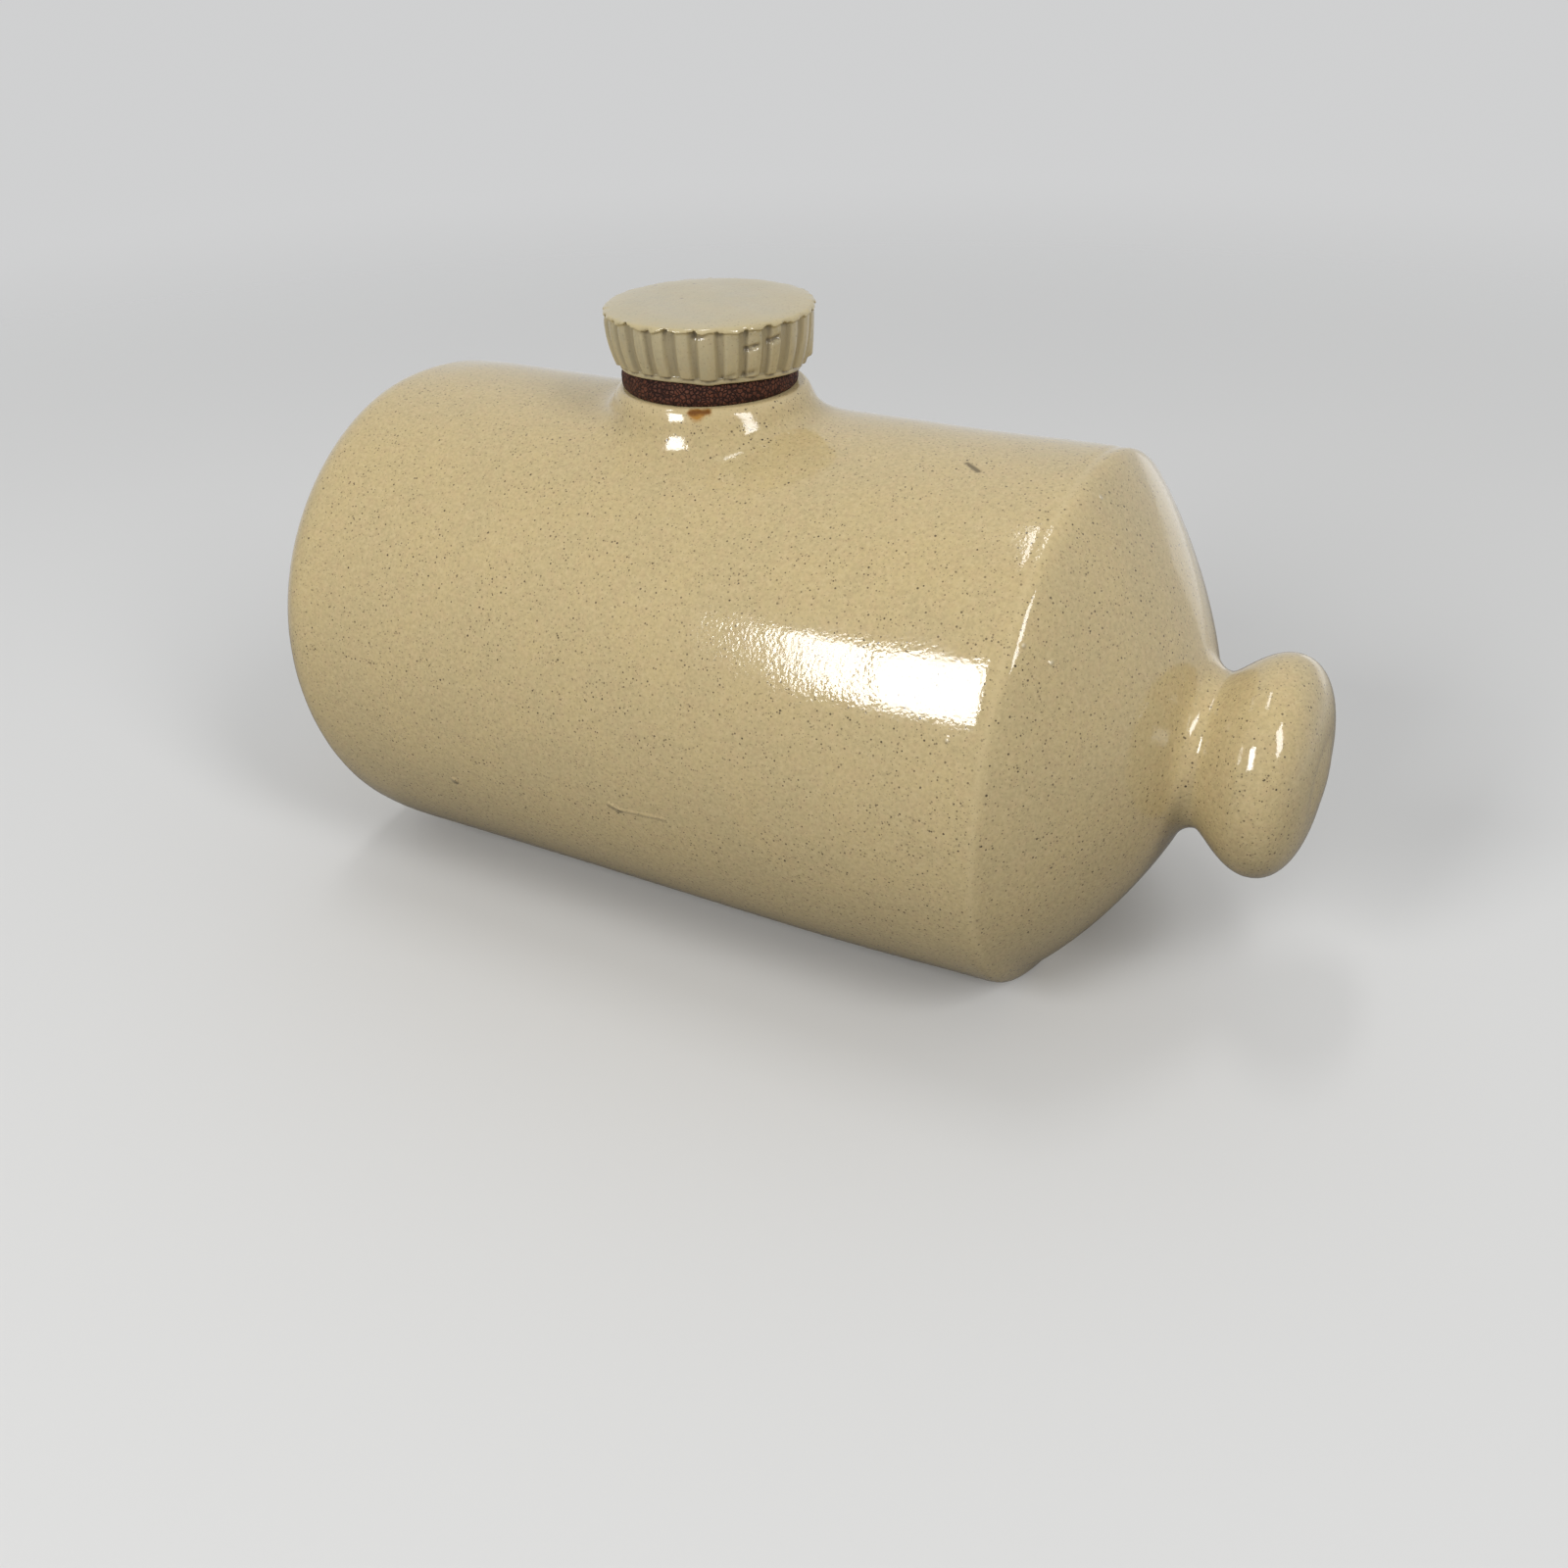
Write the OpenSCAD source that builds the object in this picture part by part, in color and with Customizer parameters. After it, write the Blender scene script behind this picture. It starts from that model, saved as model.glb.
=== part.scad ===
// Stoneware hot water bottle: a round barrel lying on a flat, a knob to lift it by,
// and a screw stopper that closes the neck on a rubber washer.
// Millimetres. +X runs along the barrel to the knob and +Z up through the stopper.
// The origin is on the flat underside, straight below the stopper.

/* [Barrel] */
// Outside diameter of the barrel
barrel_d = 132; // [110:1:160]
// From the neck's axis to the shoulder's edge
neck_to_shoulder = 98; // [85:1:120]
// From the neck's axis to the plain end
neck_to_end = 102; // [90:1:120]
// Thickness of the fired wall
wall = 8; // [6:0.5:10]
// Width of the flat that the barrel lies on
flat_w = 42; // [30:1:50]
// Length over which the plain end rounds off
end_round_l = 14.5; // [8:0.5:20]
// Height over which the plain end rounds off
end_round_h = 21; // [12:0.5:28]
// How far the shoulder's edge draws in from the barrel
edge_drop = 1.3; // [0.5:0.1:2.5]
// Length over which the barrel draws in to that edge
edge_l = 3; // [1.5:0.1:5]

/* [Shoulder and knob] */
// Length of the shoulder along the barrel
shoulder_l = 27.8; // [22:0.2:34]
// Diameter where the shoulder meets the waist
shoulder_end_d = 47; // [44:0.5:54]
// How far the shoulder swells out of a straight cone
shoulder_swell = 4.3; // [0:0.1:6]
// Length from the shoulder to the narrowest place
waist_l = 6.6; // [5:0.2:10]
// Diameter of the waist
waist_d = 38; // [32:0.5:42]
// Diameter of the knob
knob_d = 52.4; // [46:0.2:60]
// Length of the knob's back, from the waist to its widest place
knob_back_l = 12.6; // [9:0.2:16]
// Length of the knob's front, from its widest place to its end face
knob_front_l = 10.8; // [8:0.2:14]
// Diameter of the knob's nearly flat end face
knob_face_d = 20; // [10:0.5:26]
// How far that end face is domed
knob_dome = 1.1; // [0.4:0.1:2]

/* [Neck] */
// Height of the neck's rim above the top of the barrel
neck_rise = 6.3; // [4:0.1:10]
// Thickness of the neck at its rim
rim_wall = 6.8; // [5.5:0.1:9]
// Rounding of the rim's outer edge
rim_round = 1.5; // [0.8:0.1:2]
// How far the neck's foot flares out beyond its rim
flare_w = 10.6; // [8:0.2:14]
// Thickness of the neck tube inside the barrel
tube_wall = 5; // [4:0.2:7]
// How far the neck tube reaches below the plug
tube_below = 7; // [6:0.5:12]
// Bevel inside the rim
rim_bevel = 1; // [0.4:0.1:1.5]

/* [Stopper] */
// Diameter of the plug's core
plug_d = 26.8; // [22:0.2:32]
// Length of the plug below the rim
plug_len = 26; // [22:0.5:34]
// Bevel round the plug's end
plug_bevel = 2; // [1:0.1:3]
// Height of the head, without its dome
head_h = 13.2; // [10:0.1:18]
// How far the head's top stands out beyond its foot
head_flare = 3.4; // [2:0.1:5]
// Height of the plain band at the head's foot
band_h = 1.8; // [1:0.1:3]
// Step from that band out to the ends of the grooves
band_step = 0.3; // [0.2:0.05:0.6]
// Bevel of the head's top edge
head_bevel = 0.8; // [0.4:0.1:1.5]
// Rise of the head's domed top
head_dome = 0.9; // [0.3:0.1:2]
// Number of grooves round the head
groove_count = 27; // [20:1:32]
// Radius of a groove
groove_r = 1.5; // [1:0.1:2]
// How deep a groove is cut
groove_depth = 1; // [0.5:0.1:1.4]

/* [Washer] */
// Thickness of the washer
washer_t = 5.4; // [3:0.1:8]
// Width of the washer's ring
washer_w = 7.8; // [6:0.1:9]
// Bevel on the washer's edges
washer_bevel = 0.5; // [0.2:0.1:1]

/* [Thread] */
// Rise of the thread in one turn
pitch = 9; // [7.5:0.1:12]
// Depth of the thread's ridges
thread_depth = 2.4; // [1.6:0.1:3]
// Width of a ridge at its crest
crest_w = 2; // [1.2:0.1:2.4]
// Plain length of the plug below the rim, before its thread
plug_lead = 2; // [1:0.5:4]
// Plain length of the neck below the rim, before its thread
neck_lead = 6; // [4:0.5:8]

/* [Clearances] */
// Gap between the plug's ridges and the neck, and the neck's ridges and the plug
thread_gap = 0.8; // [0.5:0.1:1.2]
// Gap between the washer and the plug
washer_gap = 0.4; // [0.3:0.05:0.8]

/* [Hidden] */
$fn = 96;

// Depth that a piece of a union reaches into its neighbour, and a cutter past a face
sink = 1;
// Points on a curved stretch of an outline
curve_steps = 10;
// Steps in one turn of a thread, and the share of a turn in which a ridge fades out
turn_steps = 24;
fade_turns = 0.2;

barrel_r = barrel_d / 2;
axis_z = sqrt(pow(barrel_r, 2) - pow(flat_w / 2, 2));
edge_r = barrel_r - edge_drop;
shoulder_end_x = neck_to_shoulder + shoulder_l;
waist_x = shoulder_end_x + waist_l;
knob_x = waist_x + knob_back_l;
knob_face_x = knob_x + knob_front_l;

plug_r = plug_d / 2;
thread_r = plug_r + thread_depth;
bore_r = thread_r + thread_gap;
neck_thread_r = plug_r + thread_gap;
rim_r = bore_r + rim_wall;
foot_r = rim_r + flare_w;
rim_z = axis_z + barrel_r + neck_rise;
foot_z = axis_z + sqrt(pow(barrel_r, 2) - pow(foot_r, 2)) - sink;
plug_z = rim_z - plug_len;
tube_z = plug_z - tube_below;
tube_r = bore_r + tube_wall;

washer_in_r = plug_r + washer_gap;
washer_r = washer_in_r + washer_w;
head_z = rim_z + washer_t;
head_top_z = head_z + head_h;
head_r = washer_r + head_flare;
band_z = head_z + band_h;
side_r = washer_r + band_step + groove_depth;
bevel_z = head_top_z - head_bevel;
side_lean = atan2(head_r - side_r, bevel_z - band_z);

// Width of a ridge at its root leaves the gap on both flanks between two ridges
root_w = pitch - crest_w - 2 * thread_gap;
cavity_r = barrel_r - wall;
cavity_z = wall;

// A point between two points
function mix(a, b, t) = a + (b - a) * t;
// Points on a curve with one or two control points, without its first point
function curve2(a, b, c) =
    [for (i = [1 : curve_steps]) let (t = i / curve_steps) mix(mix(a, b, t), mix(b, c, t), t)];
function curve3(a, b, c, d) =
    [for (i = [1 : curve_steps]) let (t = i / curve_steps)
        mix(mix(mix(a, b, t), mix(b, c, t), t), mix(mix(b, c, t), mix(c, d, t), t), t)];
// Points on a quarter of an ellipse about a centre, without its first point
function quarter(centre, across, up, from) =
    [for (i = [1 : curve_steps]) let (a = from + 90 * i / curve_steps)
        centre + [across * cos(a), up * sin(a)]];

// Outline of the outside, as [place along the barrel, radius]
function outer_outline() = let (
    end_start = [-neck_to_end, barrel_r - end_round_h],
    barrel_end = [neck_to_shoulder - edge_l, barrel_r],
    edge = [neck_to_shoulder, edge_r],
    shoulder_end = [shoulder_end_x, shoulder_end_d / 2],
    shoulder_mid = mix(edge, shoulder_end, 0.5) + [0, 2 * shoulder_swell],
    waist = [waist_x, waist_d / 2],
    widest = [knob_x, knob_d / 2],
    face = [knob_face_x, knob_face_d / 2],
    end_centre = [-neck_to_end + end_round_l, barrel_r - end_round_h],
    fall = (shoulder_end - shoulder_mid) / norm(shoulder_end - shoulder_mid))
    concat(
        [[-neck_to_end, 0], end_start],
        [for (p = quarter([0, 0], -end_round_l, end_round_h, 0)) end_centre + p],
        [barrel_end],
        curve2(barrel_end, mix(barrel_end, edge, 0.5) + [0, edge_drop / 2], edge),
        curve2(edge, shoulder_mid, shoulder_end),
        curve3(shoulder_end, shoulder_end + fall * waist_l / 2, waist - [waist_l / 2, 0], waist),
        curve3(waist, waist + [knob_back_l / 8, 0], widest - [knob_back_l / 2, 0], widest),
        curve3(widest, widest + [knob_front_l * 0.85, 0], face + [0, knob_face_d / 8], face),
        curve2(face, face + [knob_dome, -knob_face_d / 4], [knob_face_x + knob_dome, 0]));

// Outline of the hollow, one wall inside the barrel and closed off short of the waist
function hollow_outline() = let (
    end_x = -neck_to_end + wall,
    round_l = end_round_l - wall / 2,
    round_h = end_round_h - wall / 2,
    corner = [end_x + round_l, cavity_r - round_h],
    edge = [neck_to_shoulder - wall / 2, cavity_r],
    tip = [shoulder_end_x - wall, shoulder_end_d / 2 - wall / 2],
    swell = mix(edge, tip, 0.5) + [0, 2 * shoulder_swell])
    concat(
        [[end_x, 0], [end_x, cavity_r - round_h]],
        [for (p = quarter([0, 0], -round_l, round_h, 0)) corner + p],
        [edge],
        curve2(edge, swell, tip),
        [[tip.x, 0]]);

// Turns an outline about the barrel's axis
module turned(outline) {
    translate([0, 0, axis_z])
        rotate([0, 90, 0])
            rotate_extrude()
                polygon([for (p = outline) [p.y, p.x]]);
}

// A helical ridge from a root radius to a crest radius, between two heights,
// on the helix that passes angle 0 at zero_z
module ridge(root_r, crest_r, z0, z1, zero_z) {
    turns = (z1 - z0) / pitch;
    steps = ceil(turns * turn_steps);
    inward = crest_r < root_r;
    function at(i, r, dz) = let (
        z = mix(z0, z1, i / steps),
        a = 360 * (z - zero_z) / pitch)
        [r * cos(a), r * sin(a), z + dz];
    function fade(i) = let (t = turns * i / steps) min(1, 0.1 + min(t, turns - t) / fade_turns);
    function section(i) = let (
        r = mix(root_r, crest_r, fade(i)),
        low = [at(i, root_r, -root_w / 2), at(i, r, -crest_w / 2)],
        high = [at(i, r, crest_w / 2), at(i, root_r, root_w / 2)])
        inward ? [high[1], high[0], low[1], low[0]] : concat(low, high);
    points = [for (i = [0 : steps]) each section(i)];
    sides = [for (i = [0 : steps - 1], j = [0 : 3]) let (
        a = 4 * i + j,
        b = 4 * i + (j + 1) % 4)
        each [[a, b + 4, a + 4], [a, b, b + 4]]];
    last = 4 * steps;
    ends = [[0, 2, 1], [0, 3, 2], [last, last + 1, last + 2], [last, last + 2, last + 3]];
    polyhedron(points, concat(sides, ends));
}

// The neck's outside: a rounded rim on a flare that runs into the barrel
module neck_outside() {
    lip = [rim_r, rim_z - rim_round];
    foot = [foot_r, foot_z];
    rotate_extrude()
        polygon(concat(
            [[0, foot_z], foot],
            curve2(foot, [mix(rim_r, foot_r, 0.3), mix(foot_z, lip.y, 0.35)], lip),
            quarter([rim_r - rim_round, lip.y], rim_round, rim_round, 0),
            [[0, rim_z]]));
}

// The hollow, with the neck tube left standing in it and a floor above the flat
module hollow() {
    difference() {
        turned(hollow_outline());
        translate([0, 0, tube_z])
            cylinder(r = tube_r, h = rim_z - tube_z);
        translate([-neck_to_end, -barrel_r, -sink])
            cube([neck_to_end + knob_face_x, barrel_d, cavity_z + sink]);
    }
}

// The neck's bore, bevelled at the rim
module neck_bore() {
    translate([0, 0, tube_z - sink])
        cylinder(r = bore_r, h = rim_z - tube_z + 2 * sink);
    translate([0, 0, rim_z - rim_bevel])
        cylinder(r1 = bore_r, r2 = bore_r + rim_bevel + sink, h = rim_bevel + sink);
}

// The fired bottle: barrel, shoulder, knob and threaded neck in one piece
module bottle() {
    color("burlywood") {
        difference() {
            union() {
                turned(outer_outline());
                neck_outside();
            }
            hollow();
            neck_bore();
            translate([-neck_to_end - sink, -barrel_r, -barrel_r])
                cube([neck_to_end + knob_face_x + knob_dome + 2 * sink, barrel_d, barrel_r]);
        }
        ridge(bore_r + sink, neck_thread_r, plug_z, rim_z - neck_lead - root_w / 2, rim_z + pitch / 2);
    }
}

// The stopper's head and plug before the grooves are cut
module stopper_blank() {
    rotate_extrude()
        polygon(concat(
            [[0, plug_z], [plug_r - plug_bevel, plug_z], [plug_r, plug_z + plug_bevel]],
            [[plug_r, head_z], [washer_r, head_z], [washer_r, band_z], [side_r, band_z]],
            [[head_r, bevel_z], [head_r - head_bevel, head_top_z]],
            curve2([head_r - head_bevel, head_top_z], [head_r / 2, head_top_z + head_dome],
                [0, head_top_z + head_dome])));
}

// Grooves down the side of the head, from its top to the plain band
module grooves() {
    below = groove_r * tan(side_lean) + band_step;
    above = head_top_z + head_dome - band_z + sink;
    for (i = [0 : groove_count - 1])
        rotate([0, 0, 360 * i / groove_count])
            translate([side_r + (groove_r - groove_depth) / cos(side_lean), 0, band_z])
                rotate([0, side_lean, 0])
                    translate([0, 0, -below])
                        cylinder(r = groove_r, h = below + above / cos(side_lean), $fn = 24);
}

// The stopper: a grooved head on a threaded plug
module stopper() {
    color("darkkhaki") {
        difference() {
            stopper_blank();
            grooves();
        }
        ridge(plug_r - sink, thread_r, plug_z + plug_bevel + root_w / 2, rim_z - plug_lead - root_w / 2, rim_z);
    }
}

// The washer that seals the head on the rim
module washer() {
    b = washer_bevel;
    color("saddlebrown")
        translate([0, 0, rim_z])
            rotate_extrude()
                polygon([
                    [washer_in_r, 0], [washer_r - b, 0], [washer_r, b],
                    [washer_r, washer_t - b], [washer_r - b, washer_t], [washer_in_r, washer_t]]);
}

bottle();
stopper();
washer();
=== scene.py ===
# %% [markdown]
# # A stoneware hot water bottle
# A glazed barrel lies on a flat, with a knob at one end to lift it by. A screw stopper closes
# the neck on a rubber washer. The construction model already gives the sizes, the joints and
# the place of each piece, so this lesson only has to make the three pieces look fired, glazed
# and used. Everything stays in the construction model's own frame, in metres: +X runs to the
# knob, +Z goes up through the stopper, and the origin is on the flat underside.

# %% Load the construction model
import math

import bmesh
import bpy
import numpy as np
from mathutils import Matrix


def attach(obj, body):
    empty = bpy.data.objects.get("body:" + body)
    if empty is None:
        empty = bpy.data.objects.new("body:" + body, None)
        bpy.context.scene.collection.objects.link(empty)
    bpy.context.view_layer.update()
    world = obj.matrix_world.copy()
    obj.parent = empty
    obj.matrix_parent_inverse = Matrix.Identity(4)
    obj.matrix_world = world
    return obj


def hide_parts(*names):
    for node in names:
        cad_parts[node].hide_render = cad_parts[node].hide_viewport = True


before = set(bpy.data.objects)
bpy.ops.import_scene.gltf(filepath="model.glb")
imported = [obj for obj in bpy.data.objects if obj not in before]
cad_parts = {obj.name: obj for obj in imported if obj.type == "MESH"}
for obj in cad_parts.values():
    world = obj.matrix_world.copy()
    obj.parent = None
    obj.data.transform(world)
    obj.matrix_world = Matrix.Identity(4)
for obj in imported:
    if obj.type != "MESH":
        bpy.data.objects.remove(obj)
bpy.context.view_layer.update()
mm = 0.001

# %% [markdown]
# ## The camera
# The photograph looks down on the bottle by about 31 degrees, from the side of the knob. A
# camera's rotation could be given as three angles, but two directions are easier to check: which
# way is right in the picture, and which way is up. The third direction follows from those two.

# %% Camera
picture_px = 1600
focal_px = 1564.2
sensor_mm = 36.0
camera_place = (0.1985, -0.3156, 0.2426)
picture_right = np.array((0.8741, 0.4849, -0.0286))
picture_up = np.array((-0.228, 0.4616, 0.8573))


def placed(name, data):
    """A new object of the scene that shows some data."""
    made = bpy.data.objects.new(name, data)
    bpy.context.scene.collection.objects.link(made)
    return made


def turned_to(right, up):
    """The rotation that takes an object's own X and Y to two directions."""
    return Matrix(np.stack([right, up, np.cross(right, up)], 1).tolist()).to_4x4()


camera_data = bpy.data.cameras.new("camera")
camera_data.sensor_width = sensor_mm
camera_data.lens = sensor_mm * focal_px / picture_px
camera = placed("camera", camera_data)
camera.matrix_world = Matrix.Translation(camera_place) @ turned_to(picture_right, picture_up)
bpy.context.scene.camera = camera
print("lens, mm:", round(camera_data.lens, 2))

# %% [markdown]
# ## Clay: points gathered in rings
# Turned pots are stacks of rings. A Screw modifier could turn an outline, but it makes every
# ring a perfect circle, and this bottle has ribs, a thread and a neck on its side. So the points
# come from formulas, ring by ring, and faces are bridged between one ring and the next. A mark is
# a number kept at each point, which the glaze can read later, such as how near an edge is.

# %% Clay
class Clay:
    """The points and faces of one piece, in millimetres, until it is fired into a mesh."""

    def __init__(self, *marks):
        self.points = np.zeros((0, 3))
        self.marks = {name: np.zeros(0) for name in marks}
        self.faces = []

    def add(self, points, **marks):
        """Adds points with their marks, and gives their numbers."""
        start = len(self.points)
        points = np.asarray(points, float).reshape(-1, 3)
        self.points = np.concatenate([self.points, points])
        for name, old in self.marks.items():
            value = np.broadcast_to(marks.get(name, 0.0), len(points))
            self.marks[name] = np.concatenate([old, value])
        return np.arange(start, start + len(points))

    def bridge(self, ring, other):
        """Adds a closed strip of faces between two rings."""
        sides = [ring, np.roll(ring, -1), np.roll(other, -1), other]
        self.faces += np.stack(sides, 1).tolist()

    def grow(self, ring, points, **marks):
        """Adds a ring of points, bridged to the ring before it."""
        new = self.add(points, **marks)
        self.bridge(ring, new)
        return new

    def close(self, ring, tip, **marks):
        """Closes a ring with a fan of faces to its tip."""
        middle = self.add([tip], **marks)[0]
        self.faces += [[a, b, middle] for a, b in zip(ring, np.roll(ring, -1))]

    def fire(self, name):
        """Makes the mesh, without points that no face uses, and puts it into the scene."""
        used = np.unique(np.concatenate([np.array(face) for face in self.faces]))
        place = np.zeros(len(self.points), int)
        place[used] = np.arange(len(used))
        mesh = bpy.data.meshes.new(name)
        faces = [place[face].tolist() for face in self.faces]
        mesh.from_pydata((self.points[used] * mm).tolist(), [], faces)
        for mark, values in self.marks.items():
            stored = mesh.attributes.new(mark, "FLOAT", "POINT")
            stored.data.foreach_set("value", values[used].astype(np.float32))
        shell = bmesh.new()
        shell.from_mesh(mesh)
        bmesh.ops.recalc_face_normals(shell, faces=shell.faces)
        open_edges = sum(not edge.is_manifold for edge in shell.edges)
        shell.to_mesh(mesh)
        shell.free()
        mesh.shade_smooth()
        print(name, "has", len(faces), "faces and", open_edges, "open edges")
        return placed(name, mesh)


print("clay is measured in units of", mm, "m")

# %% [markdown]
# ## Small tools for curves
# Four helpers make most of the shapes: a soft step from 0 to 1, for blending one form into
# another; a bell, for a dent or a swelling; a curve that follows its handles, as Blender's own
# curves do; and the larger of two values, with the corner between them rounded.

# %% Curves
def ease(low, high, value):
    t = np.clip((value - low) / (high - low), 0.0, 1.0)
    return t * t * (3.0 - 2.0 * t)


def bell(value):
    return np.exp(-(value**2))


def curve(steps, *handles):
    t = np.linspace(0.0, 1.0, steps + 1)[:, None]
    layer = [np.array([handle], float) for handle in handles]
    while len(layer) > 1:
        layer = [a * (1.0 - t) + b * t for a, b in zip(layer, layer[1:])]
    return layer[0]


def soft_max(a, b, width):
    closeness = np.maximum(width - np.abs(a - b), 0.0) / width
    return np.maximum(a, b) + closeness**2 * width / 4.0


print("ease at a half:", ease(0.0, 1.0, 0.5), "bell at one:", bell(1.0).round(3))

# %% [markdown]
# ## The barrel's outline
# The outside is one long outline, turned about the barrel's axis: a rounded plain end, the
# straight barrel, a crisp edge, a swelling shoulder, a waist and a flattened ball of a knob. Each
# stretch is a short curve between sizes in millimetres, and its pulls say how far the curve keeps
# to its direction at either end. Rows lie closer together where the outline bends, so that light
# slides over the edge instead of breaking on it.

# %% Sizes of the outside, with points as place along the barrel and radius
barrel_r = 66.0
axis_z = 62.57
far_x = -104.4
end_round = np.array((15.5, 22.0))
neck_span = 45.0
taper = 0.4
edge_x = 97.8
edge_r = 65.5
edge_lead = 3.3
edge_round = 2.8
shoulder_end = np.array((125.8, 23.5))
waist = np.array((131.4, 18.7))
widest = np.array((145.0, 26.2))
face = np.array((155.8, 10.0))
tip_x = 156.9

shoulder_pulls = (12.5, 15.5)
waist_pulls = (2.9, 2.5)
knob_pulls = (2.2, 6.3)
face_pulls = (9.2, 2.5)
print("length over all, mm:", round(tip_x - far_x, 1))

# %% Outline of the outside
along = np.array((1.0, 0.0))
inward = np.array((0.0, -1.0))


def downhill(degrees):
    """The direction that runs towards the knob and falls by an angle."""
    return along * math.cos(math.radians(degrees)) + inward * math.sin(math.radians(degrees))


def bow(steps, start, leaving, end, arriving, pulls):
    """A curve that leaves its start along one direction and arrives at its end along another."""
    return curve(steps, start, start + leaving * pulls[0], end - arriving * pulls[1], end)[1:]


leave = downhill(43.5)
fall = downhill(68.0)
end_centre = np.array((far_x, barrel_r)) + end_round * (1, -1)
edge_start = np.array((edge_x - edge_lead, barrel_r - taper))
edge = np.array((edge_x, edge_r))
shoulder_start = edge + leave * edge_round
bend = np.linspace(0, np.pi / 2, 15)[:, None]

outline = np.concatenate([
    np.stack([np.full(9, far_x), np.linspace(2.0, end_centre[1], 9)], 1),
    (end_centre + end_round * np.hstack([-np.cos(bend), np.sin(bend)]))[1:],
    curve(14, end_centre + (0, end_round[1]), (-neck_span, barrel_r))[1:],
    curve(30, (-neck_span, barrel_r), (neck_span, barrel_r))[1:],
    curve(17, (neck_span, barrel_r), edge_start)[1:],
    curve(14, edge_start, edge, shoulder_start)[1:],
    bow(22, shoulder_start, leave, shoulder_end, fall, shoulder_pulls),
    bow(10, shoulder_end, fall, waist, along, waist_pulls),
    bow(16, waist, along, widest, along, knob_pulls),
    bow(18, widest, along, face, inward, face_pulls),
    curve(8, face, (tip_x, face[1] / 2), (tip_x, 0.0))[1:-1],
])
print("rows in the outline:", len(outline))

# %% [markdown]
# ## A hand-finished skin
# No fired barrel is a true solid of revolution. The shoulder was joined on a little off centre,
# the lower edge of the plain end was rubbed rounder, and the wall waves by a tenth of a
# millimetre. One function puts all of that on a point of the outline, and flattens the underside
# with a soft edge, so that the barrel and the neck's surroundings always agree. Pairs of values
# are for Y and Z.

# %% Skin of the barrel
rubbed_side = math.radians(215.0)
rubbed_spread = 0.7
rubbed_share = 0.068
rubbed_from_x = -77.0
rubbed_length = 24.0
dent_side = math.radians(86.0)
dent_spread = 0.3
dent_x = -91.0
dent_length = 9.0
dent_depth = 0.9
# Each wave of the wall has its height, how many fit round, its twist along the barrel and its start.
wall_waves = ((0.12, 3, 0.021, 0.4), (0.07, 5, -0.047, 2.0))
drift_from_x = 55.0
edge_drift = (0.3, 0.6)
edge_slant = (0.0085, -0.006)
slant_length = 20.0
join_before = 1.5
join_after = 4.0
shoulder_drift = (1.04, 1.6)
shoulder_return = (0.0098, 0.0415)
shoulder_swell = 0.85
swell_length = 12.0
flat_round = 1.2


def turned_by(angle, side):
    """How far an angle lies from a side, the short way round."""
    return np.angle(np.exp(1j * (angle - side)))


def skin(x, radius, angle):
    """The point of the outside at a place along the barrel, a radius and an angle from +Y up to +Z."""
    rubbed = rubbed_share * bell(turned_by(angle, rubbed_side) / rubbed_spread)
    rubbed = rubbed * np.clip((rubbed_from_x - x) / rubbed_length, 0, 1) ** 2
    dent = dent_depth * bell(turned_by(angle, dent_side) / dent_spread) * bell((x - dent_x) / dent_length)
    wave = sum(size * np.sin(count * angle + twist * x + start) for size, count, twist, start in wall_waves)
    reach = radius * (1.0 - rubbed) + (wave - dent) * radius / barrel_r
    y = reach * np.cos(angle)
    z = reach * np.sin(angle)
    to_edge = ease(drift_from_x, edge_x, x)
    slanted = to_edge * (1.0 - ease(edge_x, edge_x + slant_length, x))
    joined = ease(edge_x - join_before, edge_x + join_after, x)
    past_edge = np.maximum(x - edge_x, 0.0)
    swell = shoulder_swell * np.exp(-past_edge / swell_length)
    x = x - slanted * (edge_slant[0] * y + edge_slant[1] * z)
    y = y + edge_drift[0] * to_edge + joined * (shoulder_drift[0] - shoulder_return[0] * past_edge)
    z = z + edge_drift[1] * to_edge + joined * (shoulder_drift[1] - shoulder_return[1] * past_edge + swell)
    z = soft_max(z + axis_z, np.zeros_like(z), flat_round)
    return np.stack(np.broadcast_arrays(x, y, z), -1)


print("top of the barrel, mm:", skin(np.array(0.0), barrel_r, np.pi / 2))

# %% [markdown]
# ## Leaving a window for the neck
# The neck could be a second mesh pushed into the barrel, but then a hard line would show where
# a potter would have smoothed the clay. Instead the barrel's grid leaves a rectangular window on
# top, and rings lead from the window's border to the neck's round foot. The same steps work for
# the outside and for the hollow, so they are one function.

# %% A turned grid with a window
columns = 192
half_window = 22
angles = np.linspace(0, 2 * np.pi, columns, endpoint=False) - np.pi / 2


def turned_grid(clay, rows, place, window_rows, marks):
    """Adds a turned shell with a window, and gives its two end rings and the window's border."""
    grid = []
    for row, (x, radius) in enumerate(rows):
        here = {name: values[row] for name, values in marks.items()}
        grid.append(clay.add(place(np.full(columns, x), radius, angles), **here))
    first, last = columns // 2 - half_window, columns // 2 + half_window
    low, high = window_rows
    for row, (ring, other) in enumerate(zip(grid, grid[1:])):
        start = len(clay.faces)
        clay.bridge(ring, other)
        if low <= row < high:
            del clay.faces[start + first : start + last]
    grid = np.array(grid)
    border = [
        grid[low, first:last],
        grid[low:high, last],
        grid[high, last:first:-1],
        grid[high:low:-1, first],
    ]
    return grid[0], grid[-1], np.concatenate(border)


def window_of(rows):
    """The first and the last row that lie within the neck's span."""
    inside = np.flatnonzero(np.abs(rows[:, 0]) <= neck_span + 1e-6)
    return inside[0], inside[-1]


print("window on rows", window_of(outline), "of the outside")

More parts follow.
